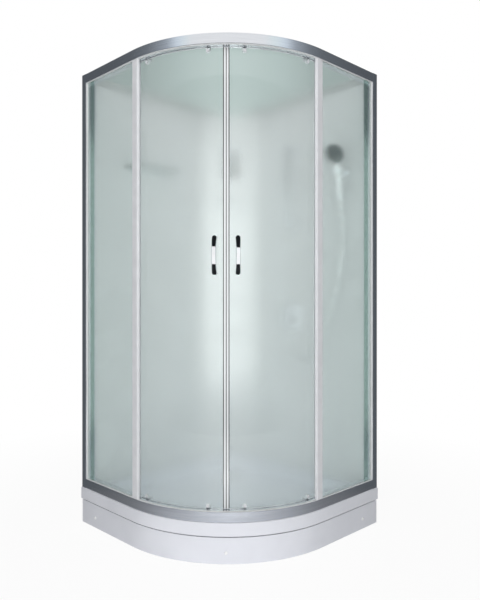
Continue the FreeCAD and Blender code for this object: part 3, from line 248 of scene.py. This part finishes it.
def place_in(tree):
    """Place of a point of the piece, in the shared frame at rest."""
    return tree.nodes.new("ShaderNodeTexCoord").outputs["Object"]


def axes_of(tree):
    """X, Y and Z of a point of the piece."""
    axes = tree.nodes.new("ShaderNodeSeparateXYZ")
    tree.links.new(place_in(tree), axes.inputs["Vector"])
    return axes.outputs


def figure(tree, operation, first, second=None):
    """One step of arithmetic on a value, with a number or another value where it takes two."""
    node = tree.nodes.new("ShaderNodeMath")
    node.operation = operation
    tree.links.new(first, node.inputs[0])
    if isinstance(second, float):
        node.inputs[1].default_value = second
    elif second is not None:
        tree.links.new(second, node.inputs[1])
    return node.outputs["Value"]


def vector_figure(tree, operation, first, second=None):
    """One step of arithmetic on a vector, with a constant one where it takes two."""
    node = tree.nodes.new("ShaderNodeVectorMath")
    node.operation = operation
    tree.links.new(first, node.inputs[0])
    if second is not None:
        node.inputs[1].default_value = second
    return node.outputs


def ranged(tree, value, source, target):
    """Map a value from one range onto another."""
    node = tree.nodes.new("ShaderNodeMapRange")
    node.inputs["From Min"].default_value, node.inputs["From Max"].default_value = source
    node.inputs["To Min"].default_value, node.inputs["To Max"].default_value = target
    tree.links.new(value, node.inputs["Value"])
    return node.outputs["Result"]


def height_in(tree):
    """Height of a point."""
    return axes_of(tree)["Z"]


def off_diagonal(tree):
    """Distance of a point from the upright plane through the cabin's corner and its door seam."""
    axes = axes_of(tree)
    aside = figure(tree, "ABSOLUTE", figure(tree, "ADD", axes["X"], axes["Y"]))
    return figure(tree, "DIVIDE", aside, math.sqrt(2.0))


def turn_from_front(tree):
    """Direction of a point from the cabin's middle, in degrees from the front."""
    flat = vector_figure(tree, "MULTIPLY", place_in(tree), LEVEL)["Vector"]
    heading = vector_figure(tree, "NORMALIZE", flat)["Vector"]
    facing = vector_figure(tree, "DOT_PRODUCT", heading, -AHEAD)["Value"]
    return figure(tree, "DEGREES", figure(tree, "ARCCOSINE", facing))


def mottle(tree, scale, detail=NOISE_DETAIL, stretch=NO_STRETCH):
    """Noise from 0 to 1, finer along an axis with a larger stretch."""
    mapping = tree.nodes.new("ShaderNodeMapping")
    mapping.inputs["Scale"].default_value = stretch
    noise = tree.nodes.new("ShaderNodeTexNoise")
    noise.inputs["Scale"].default_value = scale
    noise.inputs["Detail"].default_value = detail
    tree.links.new(place_in(tree), mapping.inputs["Vector"])
    tree.links.new(mapping.outputs["Vector"], noise.inputs["Vector"])
    return noise.outputs["Fac"]


def spread(tree, noise, low, high):
    """Map the usual range of a noise onto low to high."""
    return ranged(tree, noise, NOISE_RANGE, (low, high))


def tones(tree, noise, dark, light):
    """Colour between two tones, by a noise."""
    node = tree.nodes.new("ShaderNodeMix")
    node.data_type = "RGBA"
    node.inputs["A"].default_value = (*dark, 1.0)
    node.inputs["B"].default_value = (*light, 1.0)
    tree.links.new(spread(tree, noise, 0.0, 1.0), node.inputs["Factor"])
    return node.outputs["Result"]


def stepped(tree, value, stops):
    """Colour that changes along a value, given as pairs of the value and its colour, from low to high."""
    low, high = stops[0][0], stops[-1][0]
    ramp = tree.nodes.new("ShaderNodeValToRGB")
    elements = ramp.color_ramp.elements
    while len(elements) < len(stops):
        elements.new(1.0)
    for element, (at, colour) in zip(elements, stops):
        element.position = (at - low) / (high - low)
        element.color = (*colour, 1.0)
    tree.links.new(ranged(tree, value, (low, high), (0.0, 1.0)), ramp.inputs["Fac"])
    return ramp.outputs["Color"]


def bump(tree, shader, height, strength, distance):
    """Fine relief on a surface."""
    node = tree.nodes.new("ShaderNodeBump")
    node.inputs["Strength"].default_value = strength
    node.inputs["Distance"].default_value = distance
    tree.links.new(height, node.inputs["Height"])
    tree.links.new(node.outputs["Normal"], shader.inputs["Normal"])


def show_mix(tree, share, first, second, output):
    """Show the first shader where the share is 0 and the second where it is 1."""
    mix = tree.nodes.new("ShaderNodeMixShader")
    tree.links.new(share, mix.inputs["Fac"])
    tree.links.new(first, mix.inputs[1])
    tree.links.new(second, mix.inputs[2])
    tree.links.new(mix.outputs["Shader"], tree.nodes[output].inputs["Surface"])


def surface(name, dark, light, rough, scale, metal=0.0, coat=0.0, relief=0.0, stretch=NO_STRETCH):
    """Material with mottled colour and roughness and, where relief is above 0, a fine bump."""
    material, tree, shader = new_material(name)
    pattern = mottle(tree, scale, SURFACE_DETAIL, stretch)
    tree.links.new(tones(tree, pattern, dark, light), shader.inputs["Base Color"])
    tree.links.new(spread(tree, pattern, *rough), shader.inputs["Roughness"])
    shader.inputs["Metallic"].default_value = metal
    shader.inputs["Coat Weight"].default_value = coat
    if relief > 0.0:
        bump(tree, shader, pattern, RELIEF_STRENGTH, relief)
    return material


def stepped_surface(name, value_in, stops, rough, scale, metal=0.0, coat=0.0):
    """Material whose colour changes along a value of the place, with mottled roughness."""
    material, tree, shader = new_material(name)
    tree.links.new(stepped(tree, value_in(tree), stops), shader.inputs["Base Color"])
    tree.links.new(spread(tree, mottle(tree, scale), *rough), shader.inputs["Roughness"])
    shader.inputs["Metallic"].default_value = metal
    shader.inputs["Coat Weight"].default_value = coat
    return material


def margin_and_shade_stripe(tree, tint):
    """Tint of a fixed pane: a clear margin beside its wall post, then a deep green stripe of painted shade
    for the shaded profile behind the pane.
    """
    axes = axes_of(tree)
    along = figure(tree, "MINIMUM", axes["X"], figure(tree, "MULTIPLY", axes["Y"], -1.0))
    return stepped(tree, along, (
        (SHADE_STRIPE_FROM - SHADE_STRIPE_REACH, MARGIN_TINT), (SHADE_STRIPE_FROM - SHADE_STRIPE_BLUR, MARGIN_TINT),
        (SHADE_STRIPE_FROM + SHADE_STRIPE_BLUR, SHADE_STRIPE_TINT), (SHADE_STRIPE_TO - SHADE_STRIPE_BLUR, SHADE_STRIPE_TINT),
        (SHADE_STRIPE_TO + SHADE_STRIPE_BLUR, tint), (SHADE_STRIPE_TO + SHADE_STRIPE_REACH, tint),
    ))


def glass(name, tint, rough, lets_through, shade_striped=False):
    """Glass that scatters what is behind it, with a fine grain. Lamps shine through it."""
    material, tree, shader = new_material(name)
    grain = mottle(tree, GLASS_GRAIN)
    shader.inputs["Base Color"].default_value = (*tint, 1.0)
    # Painted shade: the fixed panes get a deep green stripe for the shaded profile behind them
    if shade_striped:
        tree.links.new(margin_and_shade_stripe(tree, tint), shader.inputs["Base Color"])
    shader.inputs["Transmission Weight"].default_value = 1.0
    shader.inputs["IOR"].default_value = GLASS_IOR
    tree.links.new(spread(tree, grain, *rough), shader.inputs["Roughness"])
    clear = tree.nodes.new("ShaderNodeBsdfTransparent")
    clear.inputs["Color"].default_value = (*lets_through, 1.0)
    to_lamp = tree.nodes.new("ShaderNodeLightPath").outputs["Is Shadow Ray"]
    show_mix(tree, to_lamp, shader.outputs["BSDF"], clear.outputs["BSDF"], "Material Output")
    return material


def wound_hose(name):
    """Bright metal hose with the fine ridges of its winding."""
    material, tree, shader = new_material(name)
    wave = tree.nodes.new("ShaderNodeTexWave")
    wave.bands_direction = "Z"
    wave.inputs["Scale"].default_value = WINDING_SCALE
    tree.links.new(place_in(tree), wave.inputs["Vector"])
    winding = wave.outputs["Fac"]
    tree.links.new(tones(tree, winding, *WINDING_TONES), shader.inputs["Base Color"])
    tree.links.new(spread(tree, mottle(tree, HOSE_MOTTLE), *HOSE_ROUGH), shader.inputs["Roughness"])
    shader.inputs["Metallic"].default_value = 1.0
    bump(tree, shader, winding, WINDING_STRENGTH, WINDING_DEPTH)
    return material


def make_materials():
    """All finishes of the cabin, by name."""
    made = {name: surface(name, **look) for name, look in SURFACES.items()}
    made.update({name: glass(name, **look) for name, look in GLASSES.items()})
    # Painted shade: dark at the seam groove and at the outer gaps of the meeting strips
    made["meeting_strip_with_shade"] = stepped_surface("meeting_strip_with_shade", off_diagonal, SEAL_TONES, **SEAL_LOOK)
    made["shower_finish"] = stepped_surface("shower_finish", height_in, SHOWER_TONES, **SHOWER_LOOK)
    made["hose_steel"] = wound_hose("hose_steel")
    return made


def dress_nodes(materials):
    """Give each CAD node the material of its slot, or its own finish."""
    for part in frame["record"]["subparts"]:
        node = part["node"]
        finish = NODE_FINISHES.get(node, part["material_slot"])
        mesh = frame["nodes"][node].data
        mesh.materials.clear()
        mesh.materials.append(materials[finish])


def make_hose(material):
    """The water hose as one smooth line along its route."""
    curve = bpy.data.curves.new("water_hose", "CURVE")
    curve.dimensions = "3D"
    curve.bevel_depth = HOSE_RADIUS
    curve.bevel_resolution = HOSE_ROUND_STEPS
    curve.use_fill_caps = True
    line = curve.splines.new("NURBS")
    line.points.add(len(HOSE_ROUTE) - 1)
    for point, place in zip(line.points, HOSE_ROUTE):
        point.co = (*place, 1.0)
    line.order_u = 3
    line.use_endpoint_u = True
    line.resolution_u = HOSE_LINE_STEPS
    hose = bpy.data.objects.new("water_hose", curve)
    bpy.context.scene.collection.objects.link(hose)
    curve.materials.append(material)
    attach(hose, "cabin")
    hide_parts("hose")


def make_camera():
    """Camera at the photograph's viewing angle."""
    data = bpy.data.cameras.new("camera")
    data.sensor_fit = "VERTICAL"
    data.sensor_height = SENSOR_MM
    data.lens = FOCAL_LENGTH_MM
    data.clip_end = VIEW_DEPTH
    camera = bpy.data.objects.new("camera", data)
    camera.location = CAMERA_PLACE
    camera.rotation_euler = CAMERA_HEADING.to_track_quat("-Z", "Y").to_euler()
    bpy.context.scene.collection.objects.link(camera)
    bpy.context.scene.camera = camera


def seen_as_background(tree):
    """1 for rays that show the background: from the camera, off metal or through glass."""
    path = tree.nodes.new("ShaderNodeLightPath").outputs
    direct = figure(tree, "MAXIMUM", path["Is Camera Ray"], path["Is Glossy Ray"])
    return figure(tree, "MAXIMUM", direct, path["Is Transmission Ray"])


def make_world():
    """White background, with an even soft light from all round."""
    world = bpy.data.worlds.new("studio")
    world.use_nodes = True
    tree = world.node_tree
    light = tree.nodes["Background"]
    light.inputs["Color"].default_value = (*WHITE, 1.0)
    light.inputs["Strength"].default_value = WORLD_LIGHT
    white = tree.nodes.new("ShaderNodeBackground")
    white.inputs["Color"].default_value = (*WHITE, 1.0)
    share = seen_as_background(tree)
    show_mix(tree, share, light.outputs["Background"], white.outputs["Background"], "World Output")
    bpy.context.scene.world = world


def stage_piece(name, corners, material):
    """Flat piece of the studio with two corners on one edge and two on the edge across from it."""
    mesh = bpy.data.meshes.new(name)
    mesh.from_pydata(corners, [], [(0, 1, 3, 2)])
    mesh.materials.append(material)
    piece = bpy.data.objects.new(name, mesh)
    bpy.context.scene.collection.objects.link(piece)
    return piece


def make_floor():
    """Pale floor that keeps the cabin's soft shadow."""
    material, tree, shader = new_material("pale_floor")
    tree.links.new(tones(tree, mottle(tree, FLOOR_MOTTLE), *FLOOR_TONES), shader.inputs["Base Color"])
    shader.inputs["Roughness"].default_value = FLOOR_ROUGHNESS
    glow = tree.nodes.new("ShaderNodeEmission")
    glow.inputs["Strength"].default_value = 1.0
    far = vector_figure(tree, "LENGTH", place_in(tree))["Value"]
    share = figure(tree, "MULTIPLY", seen_as_background(tree), ranged(tree, far, FLOOR_FADE, FLOOR_GLOW))
    show_mix(tree, share, shader.outputs["BSDF"], glow.outputs["Emission"], "Material Output")
    side = FLOOR_SIZE / 2
    corners = [(-side, -side, 0.0), (side, -side, 0.0), (-side, side, 0.0), (side, side, 0.0)]
    floor = stage_piece("floor", corners, material)
    floor.location = (0.0, 0.0, -FLOOR_DROP)


def card(name, corners, material, seen_by):
    """Card of the studio, seen only by one kind of ray."""
    piece = stage_piece(name, corners, material)
    piece.visible_camera = False
    piece.visible_diffuse = False
    piece.visible_shadow = False
    piece.visible_glossy = seen_by == "glossy"
    piece.visible_transmission = seen_by == "transmission"


def card_tone(name, colour, power=1.0):
    """Even tone of a card, whatever light falls on it."""
    material, tree, _ = new_material(name)
    glow = tree.nodes.new("ShaderNodeEmission")
    glow.inputs["Color"].default_value = (*colour, 1.0)
    glow.inputs["Strength"].default_value = power
    tree.links.new(glow.outputs["Emission"], tree.nodes["Material Output"].inputs["Surface"])
    return material


def changing_tone(name, value_in, tone_stops, tint, power=1.0):
    """Tone of a card that changes along a value of the place, in the card's tint."""
    material = card_tone(name, WHITE, power)
    tree = material.node_tree
    stops = [(at, tuple(min(1.0, tone * share) for share in tint)) for at, tone in tone_stops]
    tree.links.new(stepped(tree, value_in(tree), stops), tree.nodes["Emission"].inputs["Color"])
    return material


def make_side_flags():
    """Flags beside the cabin and a mat under it, for the dark ends of the rails and the tone of the metal."""
    back, front = (-AHEAD * reach for reach in FLAG_REACH)
    for side, tone_stops in ((-1, LEFT_FLAG_TONES), (1, RIGHT_FLAG_TONES)):
        tone = changing_tone(f"flag_tone_{side + 1}", turn_from_front, tone_stops, FLAG_TINT)
        low = ACROSS * (side * FLAG_DISTANCE)
        high = low + UP * FLAG_TOP
        card(f"side_flag_{side + 1}", [low + back, low + front, high + back, high + front], tone, "glossy")
    left, right = ACROSS * -FLAG_DISTANCE, ACROSS * FLAG_DISTANCE
    tone = changing_tone("mat_tone", turn_from_front, MAT_TONES, MAT_TINT)
    card("floor_mat", [left + back, left + front, right + back, right + front], tone, "glossy")


def make_handle_flags():
    """Dark flags below and above the handles, for their dark ends."""
    tone = card_tone("dark_card", HANDLE_FLAG_TONE)
    half = ACROSS * (HANDLE_FLAG_WIDTH / 2)
    for number, (height, far_left, far_right) in enumerate(HANDLE_FLAGS):
        near, left, right = (UP * height - AHEAD * reach for reach in (HANDLE_FLAG_NEAR, far_left, far_right))
        card(f"handle_flag_{number}", [near - half, near + half, left - half, right + half], tone, "glossy")


def cross_card(name, edges, width, tone, seen_by):
    """Card across the view, between two edges given by distance in front of the cabin and height."""
    half = ACROSS * (width / 2)
    first, second = (UP * height - AHEAD * distance for distance, height in edges)
    card(name, [first - half, first + half, second - half, second + half], tone, seen_by)


def make_cross_cards():
    """Strip light and its foot, for the glare on the doors, a dark wall in front, so that the white
    background doesn't light the inside through the glass, and a pale backdrop above the walls."""
    tone = changing_tone("strip_light", off_diagonal, STRIP_TONES, WHITE, STRIP_POWER)
    cross_card("strip_light", STRIP_EDGES, STRIP_WIDTH, tone, "glossy")
    tone = changing_tone("strip_foot", off_diagonal, STRIP_TONES, WHITE, STRIP_FOOT_POWER)
    cross_card("strip_foot", STRIP_FOOT_EDGES, STRIP_WIDTH, tone, "glossy")
    tone = card_tone("dark_wall", DARK_WALL_TONE)
    cross_card("dark_wall", DARK_WALL_EDGES, DARK_WALL_WIDTH, tone, "transmission")
    tone = changing_tone("backdrop_tone", off_diagonal, BACKDROP_TONES, BACKDROP_TINT)
    cross_card("backdrop", BACKDROP_EDGES, BACKDROP_WIDTH, tone, "transmission")


def area_light(name, place, target, size, power):
    """Soft lamp that faces its target and shows in no reflection."""
    data = bpy.data.lights.new(name, "AREA")
    data.shape = "RECTANGLE"
    data.size, data.size_y = size
    data.energy = power
    lamp = bpy.data.objects.new(name, data)
    lamp.location = place
    lamp.rotation_euler = (target - place).to_track_quat("-Z", "Y").to_euler()
    lamp.visible_glossy = False
    bpy.context.scene.collection.objects.link(lamp)


finishes = make_materials()
dress_nodes(finishes)
make_camera()
make_hose(finishes["hose_steel"])
make_world()
make_floor()
make_side_flags()
make_handle_flags()
make_cross_cards()
for lamp_name, settings in LAMPS.items():
    area_light(lamp_name, **settings)

bpy.context.scene.view_settings.view_transform = "Standard"
